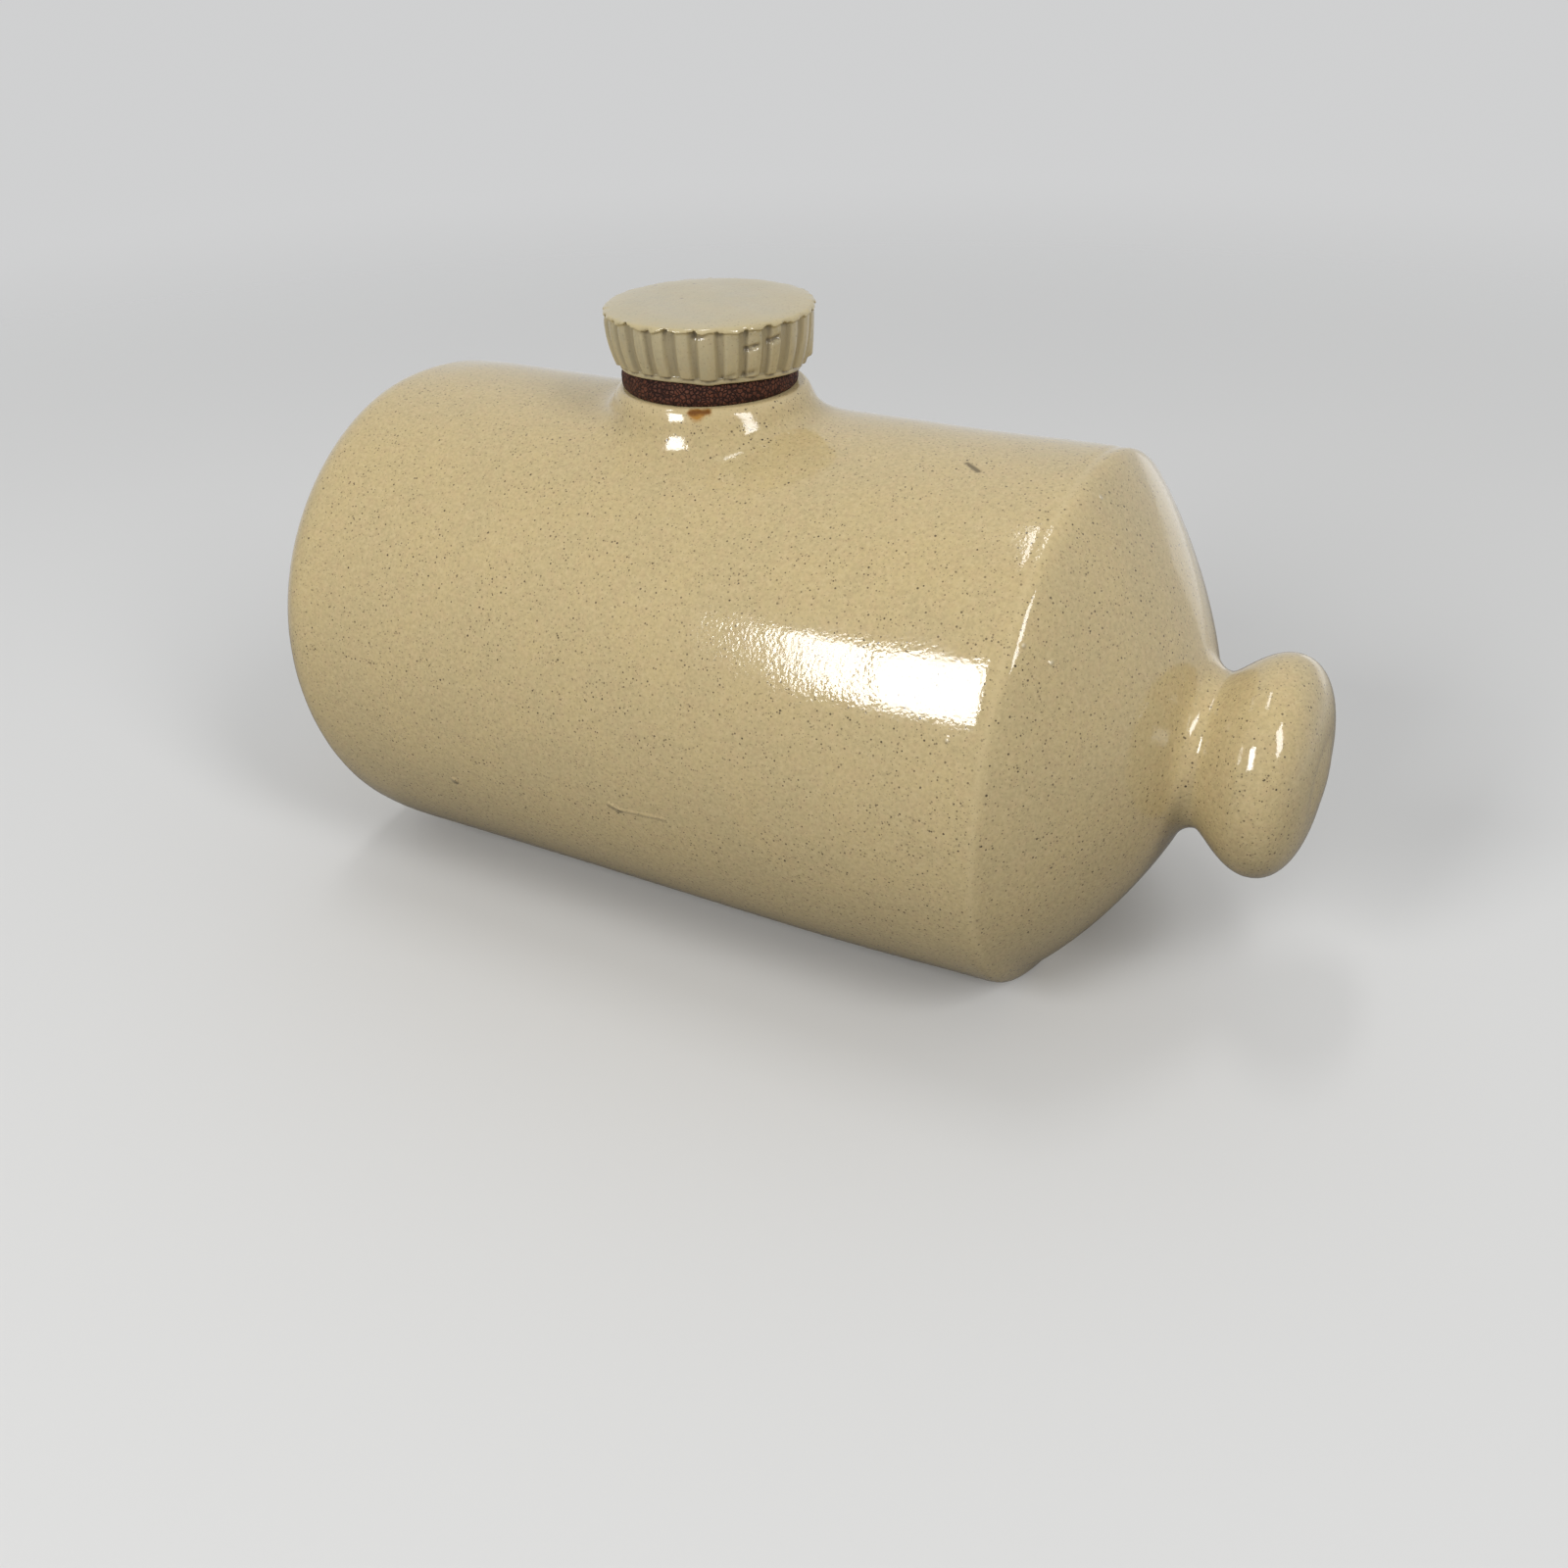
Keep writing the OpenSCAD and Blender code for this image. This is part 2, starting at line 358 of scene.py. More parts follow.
# %% [markdown]
# ## The outside and the neck
# From the window's border, rings shrink to the neck's foot and climb the flare to the rim. The
# flare is one curve of height against radius, rolled at the top, steep below it and level where it
# meets the barrel. Marks note where the glaze runs thin: along the shoulder's edge and on the rim.

# %% Turned outside
thin_edge = 0.8

bottle_clay = Clay("edge", "rim", "inside")
from_edge = np.hypot(outline[:, 0] - edge_x, outline[:, 1] - edge_r)
far_ring, knob_ring, ring = turned_grid(
    bottle_clay, outline, skin, window_of(outline), {"edge": bell(from_edge / thin_edge)})
bottle_clay.close(far_ring, skin(np.array(far_x), 0.0, 0.0))
bottle_clay.close(knob_ring, skin(np.array(tip_x), 0.0, 0.0))
print("points round the window:", len(ring))

# %% Flare, from the barrel up to the rim
rim_z = 134.87
rim_r = 22.9
foot_r = 35.0
lip_round = 1.3
lip_slope = math.radians(40.0)
thin_rim = 1.2
flare = curve(26, (rim_r, 1.0), (rim_r + 2.8, 0.76), (rim_r + 0.3, 0.0), (foot_r, 0.0))

border = bottle_clay.points[ring]
around = np.arctan2(border[:, 1], border[:, 0])
circle = np.stack([np.cos(around), np.sin(around)], 1)


def on_barrel(plan, radius=barrel_r, place=skin):
    """The points of a turned skin that lie above the points of a plan."""
    angle = np.arccos(np.clip(plan[:, 1] / radius, -1.0, 1.0))
    return place(plan[:, 0], radius, angle)


for t in np.linspace(0, 1, 9)[1:]:
    plan = border[:, :2] * (1 - t) + circle * foot_r * t
    ring = bottle_clay.grow(ring, on_barrel(plan))
lip_start_z = rim_z - lip_round * (1 - math.sin(lip_slope))
lip_height = lip_start_z - on_barrel(circle * rim_r)[:, 2]
for radius, share in flare[-2::-1]:
    points = on_barrel(circle * radius)
    points[:, 2] += lip_height * share
    ring = bottle_clay.grow(ring, points, rim=bell((radius - rim_r) / thin_rim))
print("flare, mm high:", lip_height.max().round(1))

# %% [markdown]
# ## The thread
# Inside the neck runs a coarse thread, one ridge that the stopper's ridge climbs. A ridge could be
# swept along a helix, but here it is simpler to push the bore's rings inwards wherever they are
# close to the helix. At any angle the ridge is a place along the bore, so the distance to it is a
# remainder after dividing by the pitch.

# %% Thread
pitch = 9.0
thread_depth = 2.4
crest_half = 1.0
root_half = 2.2
run_out = 1.8
neck_thread = (rim_z - 26.0, rim_z - 8.7)
plug_thread = (rim_z - 21.3, rim_z - 4.7)


def ridge(z, angle, zero_z, thread):
    """How far a thread's ridge stands up, from 0 to 1, at a height and an angle."""
    low, high = thread
    climbed = z - zero_z - pitch * angle / (2 * np.pi)
    above = (climbed + pitch / 2) % pitch - pitch / 2
    centre = z - above
    fade = ease(low, low + run_out, centre) * (1 - ease(high - run_out, high, centre))
    return (1 - ease(crest_half, root_half, np.abs(above))) * fade


print("turns of the thread in the neck:", round((neck_thread[1] - neck_thread[0]) / pitch, 1))

# %% [markdown]
# ## Down the bore
# The rim is a small roll of clay, a little wavy as a finger leaves it. Its rings turn over the
# roll, cross the seat of the washer, go down the threaded bore, and turn round the tube's end
# inside the bottle. A bevel could round the rim afterwards, but here each ring can also be marked
# as rim, for the glaze.

# %% Rim, bore and the tube's end
bore_r = 16.6
bore_round = 1.0
seat_r = 20.0
tube_z = 101.87
tube_r = 21.6
ring_step = 0.6
lip_wave = 0.12 * np.sin(3 * around + 1.0) + 0.08 * np.sin(7 * around)


def round_ring(radius, z):
    """A ring round the neck's axis, with one radius and height or one at each point."""
    radius = np.broadcast_to(radius, len(circle))
    return np.column_stack([circle * radius[:, None], np.broadcast_to(z, len(circle))])


for roll in np.linspace(lip_slope, np.pi / 2, 7)[1:]:
    radius = rim_r + lip_round * (np.cos(roll) - np.cos(lip_slope)) + lip_wave * np.cos(roll)
    height = rim_z - lip_round + lip_round * np.sin(roll)
    ring = bottle_clay.grow(ring, round_ring(radius, height), rim=1.0)
for radius in (seat_r, bore_r + bore_round):
    ring = bottle_clay.grow(ring, round_ring(radius, rim_z), rim=1.0)
for height in np.arange(rim_z - bore_round, tube_z + bore_round, -ring_step):
    proud = thread_depth * ridge(height, around, rim_z + pitch / 2, neck_thread)
    ring = bottle_clay.grow(ring, round_ring(bore_r - proud, height), inside=0.4)
tube_end = (
    (bore_r + 0.3, tube_z + 0.3),
    (bore_r + bore_round, tube_z),
    (tube_r - bore_round, tube_z),
    (tube_r, tube_z + bore_round),
)
for radius, height in tube_end:
    ring = bottle_clay.grow(ring, round_ring(radius, height), inside=1.0)
print("bore from", rim_z, "down to", tube_z)

# %% [markdown]
# ## The hollow
# Water fills the barrel, so it is a real hollow with one thickness of wall. Its outline follows
# the outside, one wall further in, and stops short of the waist, because the knob is solid. The
# neck's tube reaches into it, and its outside climbs back to the hollow's roof, which closes the
# clay into one skin with no open edge.

# %% Outline and skin of the hollow
wall = 8.0
hollow_r = barrel_r - wall
hollow_round = np.array((10.5, 17.0))
hollow_far = far_x + wall
hollow_edge = np.array((edge_x - wall / 2, hollow_r))
hollow_last = np.array((117.8, 19.5))
hollow_swell = (0.0, 8.6)
hollow_first_r = 4.0

hollow_centre = np.array((hollow_far, hollow_r)) + hollow_round * (1, -1)
hollow_rows = np.concatenate([
    np.stack([np.full(5, hollow_far), np.linspace(hollow_first_r, hollow_centre[1], 5)], 1),
    (hollow_centre + hollow_round * np.hstack([-np.cos(bend), np.sin(bend)]))[2::2],
    curve(8, hollow_centre + (0, hollow_round[1]), (-neck_span, hollow_r))[1:],
    curve(30, (-neck_span, hollow_r), (neck_span, hollow_r))[1:],
    curve(8, (neck_span, hollow_r), hollow_edge)[1:],
    curve(10, hollow_edge, (hollow_edge + hollow_last) / 2 + hollow_swell, hollow_last)[1:],
    curve(4, hollow_last, (hollow_last[0], hollow_first_r))[1:],
])


def hollow_skin(x, radius, angle):
    y = radius * np.cos(angle)
    z = soft_max(radius * np.sin(angle) + axis_z, np.full_like(y, wall), 2.0)
    return np.stack(np.broadcast_arrays(x, y, z), -1)


print("rows in the hollow:", len(hollow_rows))

# %% The hollow and its roof round the tube
hollow_start, hollow_stop, hollow_window = turned_grid(
    bottle_clay, hollow_rows, hollow_skin, window_of(hollow_rows), {"inside": np.ones(len(hollow_rows))})
bottle_clay.close(hollow_start, (hollow_far, 0.0, axis_z), inside=1.0)
bottle_clay.close(hollow_stop, (hollow_last[0], 0.0, axis_z), inside=1.0)

roof = on_barrel(circle * tube_r, hollow_r, hollow_skin)
tube_top = bottle_clay.points[ring]
for t in np.linspace(0, 1, 6)[1:]:
    ring = bottle_clay.grow(ring, tube_top * (1 - t) + roof * t, inside=1.0)
hollow_border = bottle_clay.points[hollow_window]
for t in np.linspace(0, 1, 9)[1:-1]:
    plan = circle * tube_r * (1 - t) + hollow_border[:, :2] * t
    ring = bottle_clay.grow(ring, on_barrel(plan, hollow_r, hollow_skin), inside=1.0)
bottle_clay.bridge(ring, hollow_window)
bottle = bottle_clay.fire("stoneware_bottle")

# %% [markdown]
# ## The stopper's ribs
# The stopper was pressed in a ribbed mould, trimmed by hand and dipped in glaze, so its ribs are
# flat and uneven. Twenty points to each rib are enough to show a flat face, a sharp slope on one
# side and a softer slope on the other. Seeded random numbers give each rib its own width, height
# and place, the same on every run. Widths are shares of the space that a rib has.

# %% Ribs round the head
ribs = 27
per_rib = 20
head_points = ribs * per_rib
usual_half = 0.3
soft_slope = 0.13
sharp_slope = 0.07
face_crown = 0.22
face_grain = 0.035
uneven = np.random.default_rng(11)

turn = np.linspace(0, 2 * np.pi, head_points, endpoint=False)
rib_of = np.arange(head_points) // per_rib
across = (np.arange(head_points) % per_rib + 0.5) / per_rib - 0.5
across = across + uneven.uniform(-0.05, 0.05, ribs)[rib_of]
rib_half = (usual_half + uneven.uniform(-0.05, 0.04, ribs))[rib_of]
rib_proud = uneven.uniform(-0.2, 0.16, ribs)[rib_of]
slope = np.where(across > 0, soft_slope, sharp_slope)
groove = ease(rib_half - slope / 2, rib_half + slope, np.abs(across))
rib_face = -face_crown * (across / usual_half) ** 2 * (1 - groove)
rib_face += uneven.normal(0.0, face_grain, head_points)
print("ribs:", ribs, "points round the head:", head_points)


# %% Wavy and jagged lines round the head
def ripple(count, strongest):
    """A closed wavy line round the head, made of a few waves with random starts."""
    starts = uneven.uniform(0, 2 * np.pi, count)
    sizes = uneven.uniform(0.3, 1.0, count) / np.sqrt(1 + np.arange(count))
    waves = [size * np.sin((k + 2) * turn + start) for k, (size, start) in enumerate(zip(sizes, starts))]
    total = np.sum(waves, 0)
    return strongest * total / np.abs(total).max()


def torn(pieces, strongest):
    """A closed jagged line round the head, straight between random heights."""
    heights = uneven.uniform(-strongest, strongest, pieces)
    return np.interp(turn, np.linspace(0, 2 * np.pi, pieces + 1), np.append(heights, heights[0]))


arched = uneven.uniform(0.0, 0.7, ribs)[rib_of] * groove
lip_out = ripple(20, 0.14) + torn(3 * ribs, 0.18) - 0.3 * arched
lip_down = ripple(20, 0.16) + torn(3 * ribs, 0.34) + arched - 0.1
top_wave = ripple(5, 0.12)
print("lip, mm out at most:", lip_out.max().round(2))

# %% [markdown]
# ## The head's sizes
# The top is nearly flat and rolls over at a thin lip of glaze, torn into small scallops. The ribs
# stand out below it and end in a small step over a plain band. The head was trimmed askew, so its
# skirt hangs lower on the right and at the back than at the front. Both are heights that depend on
# the place on the head, so each is a function that every ring can ask.

# %% Head
head_z = 140.27
crown_z = 154.6
lip_r = 25.5
flat_r = 24.4
rib_top_z = 152.5
rib_depth = 1.1
band_r = 21.9
band_h = 1.5
top_fall = 0.35
top_roll = 0.55
top_swell = 0.16
skirt_drop = 1.9
skirt_tilt = 0.6
skirt_dip = 0.35
facing = math.radians(-57.8)


def from_facing(degrees, angle=turn):
    """How far an angle lies from a place, given in degrees from the front."""
    return turned_by(angle, facing + math.radians(degrees))


def askew(angle):
    """How far the skirt hangs below its front edge."""
    away = from_facing(0.0, angle)
    dip = skirt_dip * bell((away + 0.06) / 0.12)
    return skirt_drop * ease(0.35, 1.83, np.abs(away)) + skirt_tilt * np.sin(away) + dip


def dome(radius):
    share = radius / lip_r
    swell = top_swell * np.sin(0.31 * radius * np.cos(turn - 0.9) + 0.7) * (1 - share**4)
    return crown_z - top_fall * share**2 - top_roll * share**8 + top_wave * share + swell


print("skirt at the right and the left, mm lower:", askew(facing + np.array((1.5, -1.5))).round(2))

# %% [markdown]
# ## Nicks
# The ribs were nicked, twice deeply and three times slightly, and one rib on the right stands up
# straight. Each nick is a slanted gouge: a dent that follows a short sloping line across one rib. A
# dent this small could be a bump in the finish, but then its edge would never catch the light.

# %% Nicks and the straight rib
# Each nick has its degrees from the front, its share of the ribs' height and its depth.
nicks = (
    (22.5, 0.65, 1.0),
    (36.5, 0.75, 1.1),
    (-6.0, 0.95, 0.5),
    (9.0, 0.04, 0.5),
    (21.5, 0.08, 0.5),
)
nick_slant = 0.45
nick_width = 0.05
nick_half = 0.07
side_r = lip_r - 0.3
straight_rib = 84.0
straight_half = 0.13


def nick_depth(share):
    """Depth of the nicks at a share of the ribs' height."""
    depth = np.zeros(head_points)
    for degrees, height, deepest in nicks:
        away = from_facing(degrees)
        slant = (share - height - nick_slant * away) / nick_width
        depth += deepest * np.exp(-(slant**2) - (away / nick_half) ** 4)
    return depth


def side_radius(share):
    """Radius of the ribs' faces at a share of their height."""
    leaning = side_r - 2.2 * (1 - share) ** 2.2
    standing = side_r - 0.8 * (1 - share) ** 2
    upright = np.exp(-((from_facing(straight_rib) / straight_half) ** 8)) * ease(0.10, 0.15, share)
    return leaning + upright * (standing - leaning)


print("nicks at", [nick[0] for nick in nicks], "degrees from the front")

# %% [markdown]
# ## Rings of the head
# The head is a stack of rings again, from the middle of the top over the lip and down the ribs to
# the band. Grooves could be cut with booleans, but rings let the ribs and the lip fade in and out.
# Marks say where the glaze is thin, where shade is painted into the grooves and under the ribs, and where
# the glaze is gone.

# %% Top and lip of the head
# Each ring of the lip has its radius, its height over the flat's edge, and the strengths of ribs and lip.
lip_rings = (
    (24.85, -0.1, 0.05, 0.2),
    (25.22, -0.28, 0.08, 0.4),
    (25.46, -0.55, 0.15, 0.7),
    (25.56, -0.82, 0.2, 1.0),
    (25.54, -1.0, 0.25, 1.0),
    (25.35, -1.08, 0.45, 1.0),
    (25.15, -1.25, 1.0, 0.9),
)
middle_r = 1.5
flat_thin = 0.45


def head_ring(radius, z, ribbed=0.0, lip=0.0, dents=0.0):
    """Points of the head at a radius and a height, with the ribs and the lip at a strength."""
    ribbing = rib_proud + rib_face - rib_depth * groove
    reach = radius + ribbed * ribbing + lip * lip_out - dents
    height = z + lip * lip_down + np.zeros(head_points)
    return np.stack([reach * np.cos(turn), reach * np.sin(turn), height], 1)


stopper_clay = Clay("edge", "groove", "nick")
ring = stopper_clay.add(head_ring(middle_r, dome(middle_r)))
stopper_clay.close(ring, (0.0, 0.0, dome(0.0)[0]))
for radius in np.append(np.linspace(3.0, 21.0, 12), np.linspace(22.0, flat_r, 6)):
    points = head_ring(radius, dome(radius), lip=0.12 * ease(23.0, flat_r, radius))
    ring = stopper_clay.grow(ring, points, edge=flat_thin * ease(18.0, flat_r, radius))
for radius, above, ribbed, lip in lip_rings:
    points = head_ring(radius, dome(flat_r) + above, ribbed, lip)
    ring = stopper_clay.grow(ring, points, edge=flat_thin + 0.55 * lip, groove=groove * ribbed)
print("points in the top and the lip:", len(stopper_clay.points))

# %% Ribs and band of the head
# Each ring of the band has its radius and its height over the skirt's edge.
band_rings = (
    (band_r + 0.25, 1.42),
    (band_r, 1.3),
    (band_r + 0.1, 1.0),
    (band_r + 0.1, 0.5),
    (band_r - 0.1, 0.2),
    (band_r - 0.5, 0.0),
    (18.0, 0.0),
)
bare_depth = 0.5

skirt = askew(turn)
side_foot = head_z + band_h - skirt
for share in np.linspace(1, 0, 31)[1:]:
    height = side_foot + share * (rib_top_z - side_foot)
    dents = nick_depth(share)
    points = head_ring(side_radius(share), height, 1.0, ease(0.86, 1.0, share), dents)
    ring = stopper_clay.grow(ring, points, groove=groove, nick=np.clip(dents / bare_depth, 0, 1),
                             edge=0.5 * ease(0.03, 0.0, share))
for radius, height in band_rings:
    points = head_ring(radius, head_z + height - skirt)
    # Painted shadow: under each rib the band is marked as nick and darkened like the step's shadow.
    painted_rib_shadow = (1 - groove) * ease(0.5, 1.05, height)
    ring = stopper_clay.grow(ring, points, edge=0.3, nick=painted_rib_shadow)
print("head down to", head_z, "at the front, mm")

# %% [markdown]
# ## The plug
# The plug is out of sight until the stopper is unscrewed. It carries the ridge that fits between
# the turns of the neck's ridge. It could have its own formula, but with the same function, pushed
# outwards and half a pitch lower, the two always agree.

# %% Plug and its thread
plug_r = 13.4
plug_z = 108.87
plug_end = ((plug_r - 0.3, 1.2), (plug_r - 0.9, 0.5), (plug_r - 2.0, 0.0), (6.0, 0.0))

for height in np.arange(head_z, plug_z + 2.0, -ring_step):
    proud = thread_depth * ridge(height, turn, rim_z, plug_thread)
    ring = stopper_clay.grow(ring, head_ring(plug_r + proud, height))
for radius, height in plug_end:
    ring = stopper_clay.grow(ring, head_ring(radius, plug_z + height))
stopper_clay.close(ring, (0.0, 0.0, plug_z))
stopper = stopper_clay.fire("screw_stopper")

# %% [markdown]
# ## The rubber washer
# The washer is an old rubber ring, squeezed so that its side bulges a little and it is thinner
# where the skirt hangs lower. Its cross-section is a rounded rectangle carried round a circle. A
# torus could be flattened into it, but drawing the section keeps its faces true against the rim
# below and the stopper above.

# %% Washer
washer_t = head_z - rim_z
washer_in_r = 13.8
washer_r = 21.5
washer_bulge = 0.55
face_edge_r = washer_r - 1.2
bore_edge_r = washer_in_r + 0.5
washer_shift = np.array((-0.5, -0.3, 0.0))
washer_points = 216

washer_clay = Clay("side")
washer_turn = np.linspace(0, 2 * np.pi, washer_points, endpoint=False)
squeezed = washer_t - askew(washer_turn)
levels = np.linspace(-1, 1, 13)
bulged = washer_r - washer_bulge + washer_bulge * (1 - np.abs(levels) ** 4)
# Each point of the section has its radius, its share of the thickness and how much it is side.
section = [(radius, 0.5 + 0.48 * level, 1.0) for radius, level in zip(bulged, levels)]
section += [(face_edge_r, 1.0, 0.3), (bore_edge_r, 1.0, 0.0)]
section += [(washer_in_r, 0.9, 0.0), (washer_in_r, 0.1, 0.0)]
section += [(bore_edge_r, 0.0, 0.0), (face_edge_r, 0.0, 0.3)]


def washer_ring(radius, share, side):
    """One point of the section, carried round the washer."""
    reach = radius + side * 0.1 * np.sin(4 * washer_turn + 0.8)
    height = rim_z + share * squeezed
    points = np.stack([reach * np.cos(washer_turn), reach * np.sin(washer_turn), height], 1)
    return points + washer_shift * side


first_ring = washer_clay.add(washer_ring(*section[0]), side=section[0][2])
ring = first_ring
for radius, share, side in section[1:]:
    ring = washer_clay.grow(ring, washer_ring(radius, share, side), side=side)
washer_clay.bridge(ring, first_ring)
washer = washer_clay.fire("rubber_washer")

# %% [markdown]
# ## Sums on sockets
# A material is a graph of nodes, and writing each link by hand hides what it works out. This
# small class wraps a socket so that Python's own signs build the Math nodes: 1 - mask adds one
# Subtract node. Every other node comes from one method that takes its type, what goes into its
# sockets, and its settings.

# %% Wire
class Wire:
    """A shader socket that can stand in a sum."""

    def __init__(self, tree, socket=None):
        self.tree = tree
        self.socket = socket

    def node(self, kind, sockets=None, settings=None, out=0):
        """Adds a node, and gives a wire from one of its outputs."""
        made = self.tree.nodes.new(kind)
        for name, value in (settings or {}).items():
            setattr(made, name, value)
        for key, value in (sockets or {}).items():
            if isinstance(value, Wire):
                self.tree.links.new(value.socket, made.inputs[key])
            else:
                made.inputs[key].default_value = value
        return Wire(self.tree, made.outputs[out] if len(made.outputs) else None)

    def also(self, out):
        """Another output of the same node."""
        return Wire(self.tree, self.socket.node.outputs[out])

    def math(self, operation, *values, clamp=False):
        settings = {"operation": operation, "use_clamp": clamp}
        return self.node("ShaderNodeMath", dict(enumerate(values)), settings)

    def vector(self, operation, *values, out="Vector"):
        return self.node("ShaderNodeVectorMath", dict(enumerate(values)), {"operation": operation}, out)

    def __add__(self, other):
        return self.math("ADD", self, other)

    def __sub__(self, other):
        return self.math("SUBTRACT", self, other)

    def __rsub__(self, other):
        return self.math("SUBTRACT", other, self)

    def __mul__(self, other):
        return self.math("MULTIPLY", self, other)

    def __truediv__(self, other):
        return self.math("DIVIDE", self, other)

    __radd__ = __add__
    __rmul__ = __mul__

    def held(self):
        """The value, kept between 0 and 1."""
        return self.math("ADD", self, 0.0, clamp=True)

    def between(self, low, high):
        """A soft step from 0 at one value to 1 at another."""
        sockets = {"Value": self, "From Min": low, "From Max": high}
        return self.node("ShaderNodeMapRange", sockets, {"interpolation_type": "SMOOTHSTEP"})

    def blend(self, below, above):
        """A colour between two, where this mask says how much of the second."""
        sockets = {0: self, 6: below, 7: above}
        return self.node("ShaderNodeMix", sockets, {"data_type": "RGBA"}, out=2)


def emptied(owner):
    """A wire into the emptied node tree of a material or a world."""
    owner.use_nodes = True
    owner.node_tree.nodes.clear()
    return Wire(owner.node_tree)


print("signs on sockets: + - * /")

# %% [markdown]
# ## Textures at their real size
# A texture's scale counts how many of its cells fit into a metre, so each is written as the size
# of one cell in millimetres. Coordinates are the object's own, so the specks stay with the piece
# when the stopper turns. Clouds are soft blotches. Specks are the dark grains of iron in the clay
# that melt through the glaze: each cell of a Voronoi pattern holds one, of a random size.

# %% Clouds and specks
def clouds(place, size, detail=2.0, rough=0.5):
    sockets = {"Vector": place, "Scale": 1.0 / (size * mm), "Detail": detail, "Roughness": rough}
    return place.node("ShaderNodeTexNoise", sockets)


def specks(place, size, smallest, largest, share, soft):
    """A mask of round specks. Sizes are shares of a cell, and share is how many cells have one."""
    cell = place.node("ShaderNodeTexVoronoi", {"Vector": place, "Scale": 1.0 / (size * mm)})
    chance = cell.node("ShaderNodeSeparateColor", {"Color": cell.also("Color")})
    radius = smallest + (largest - smallest) * chance.also("Green")
    spot = ((radius - cell) / soft).held()
    return spot * chance.math("LESS_THAN", chance, share) * (0.35 + 0.65 * chance.also("Blue"))


def mark(place, name):
    """A mark of the clay, read at each point."""
    return place.node("ShaderNodeAttribute", settings={"attribute_name": name}, out="Fac")


print("texture tools: clouds, specks, mark")

# %% [markdown]
# ## Single spots and runs
# A drip, a stain or a scar is in one place only. It could be painted on an image, but the part has
# no images, so the shader measures how far each point of the piece is from the spot. For a run the
# nearest point on a short straight line takes the spot's place.

# %% Spots and runs
def metres(point):
    return tuple(value * mm for value in point)


def near(place, point, reach):
    """1 at a point of the piece, in millimetres, fading to 0 at a reach."""
    away = place.vector("DISTANCE", place, metres(point), out="Value")
    return 1.0 - away.between(0.0, reach * mm)


def run(place, start, end, reach):
    """1 along a straight run between two points, fading to 0 at a reach."""
    course = np.subtract(end, start) * mm
    gone = place.vector("SUBTRACT", place, metres(start))
    share = gone.vector("DOT_PRODUCT", gone, tuple(course / course.dot(course)), out="Value").held()
    foot = share.node("ShaderNodeVectorMath", {0: tuple(course), "Scale": share}, {"operation": "SCALE"})
    away = foot.vector("DISTANCE", gone, foot, out="Value")
    return 1.0 - away.between(0.0, reach * mm)


print("spot tools: near, run")

# %% [markdown]
# ## Oatmeal glaze
# The glaze is glossy and a little orange-peeled, warm oatmeal over a grey body, greyer where it
# lies thick and yellower where it runs thin over an edge. A flat colour with a gloss would look
# like plastic, so the colour drifts in slow clouds, carries a fine mottle and three sizes of specks,
# and the surface ripples enough to fray the edge of a reflection. The bottle and the stopper came
# from two batches, so the recipe is a function, and extras add what happened to one piece alone.

# %% Surface and iron specks
def surface(place, tone, roughness, height, relief, constants):
    """Ends a material with one shader that has a colour, a roughness and a height."""
    bump = place.node("ShaderNodeBump", {"Height": height, **relief})
    sockets = {"Base Color": tone, "Roughness": roughness, "Normal": bump, **constants}
    shader = place.node("ShaderNodeBsdfPrincipled", sockets)
    place.node("ShaderNodeOutputMaterial", {"Surface": shader})


def iron_specks(place):
    """Three sizes of specks. The two finer ones gather in clouds."""
    gather = 0.6 + 0.4 * clouds(place, 13.0).between(0.3, 0.7)
    fine = specks(place, size=0.7, smallest=0.15, largest=0.34, share=0.85, soft=0.12) * gather
    middle = specks(place, size=1.05, smallest=0.13, largest=0.29, share=0.85, soft=0.06) * gather
    rare = specks(place, size=2.2, smallest=0.08, largest=0.15, share=0.5, soft=0.03)
    return 0.6 * fine + 1.1 * middle + rare


print("parts of a glaze: surface, iron_specks")

# %% Glaze recipe
iron = (0.085, 0.062, 0.036, 1.0)
mottle_tone = (0.32, 0.25, 0.13, 1.0)
peel_depth = 0.22
glaze_relief = {"Strength": 1.0, "Distance": 0.2 * mm}
glaze_gloss = {"IOR": 1.58}


def glazed(name, warm, cool, flushed, thin, speckling, thin_marks, extras):
    """A glaze of two drifting tones, a blush, a tone for thin places, and specks at a strength."""
    material = bpy.data.materials.new(name)
    place = emptied(material).node("ShaderNodeTexCoord", out="Object")
    drift = clouds(place, 16.0, 4.0, 0.65).between(0.36, 0.64)
    blush = clouds(place, 3.0, 3.0, 0.6).between(0.42, 0.66)
    mottle = clouds(place, 0.8).between(0.35, 0.7)
    bloom = clouds(place, 1.1).between(0.45, 0.75)
    thinned = sum(weight * mark(place, spot) for spot, weight in thin_marks.items()).held()
    dark = (speckling * iron_specks(place)).held()
    tone = drift.blend(warm, cool)
    tone = (0.5 * blush).blend(tone, flushed)
    tone = (0.3 * speckling * mottle).blend(tone, mottle_tone)
    tone = (0.5 * speckling * bloom).blend(tone, thin)
    tone = thinned.blend(tone, thin)
    tone = dark.blend(tone, iron)
    peel = clouds(place, 0.9, 1.0) * (0.5 + 0.6 * clouds(place, 19.0).between(0.45, 0.7))
    height = peel_depth * (peel + 0.5 * clouds(place, 3.2, 0.0) - 0.05 * dark)
    roughness = 0.09 + 0.05 * clouds(place, 9.0).between(0.4, 0.8)
    tone, height, roughness = extras(place, tone, height, roughness)
    surface(place, tone, roughness, height, glaze_relief, glaze_gloss)
    return material


print("glaze recipe ready, with an IOR of", glaze_gloss["IOR"])
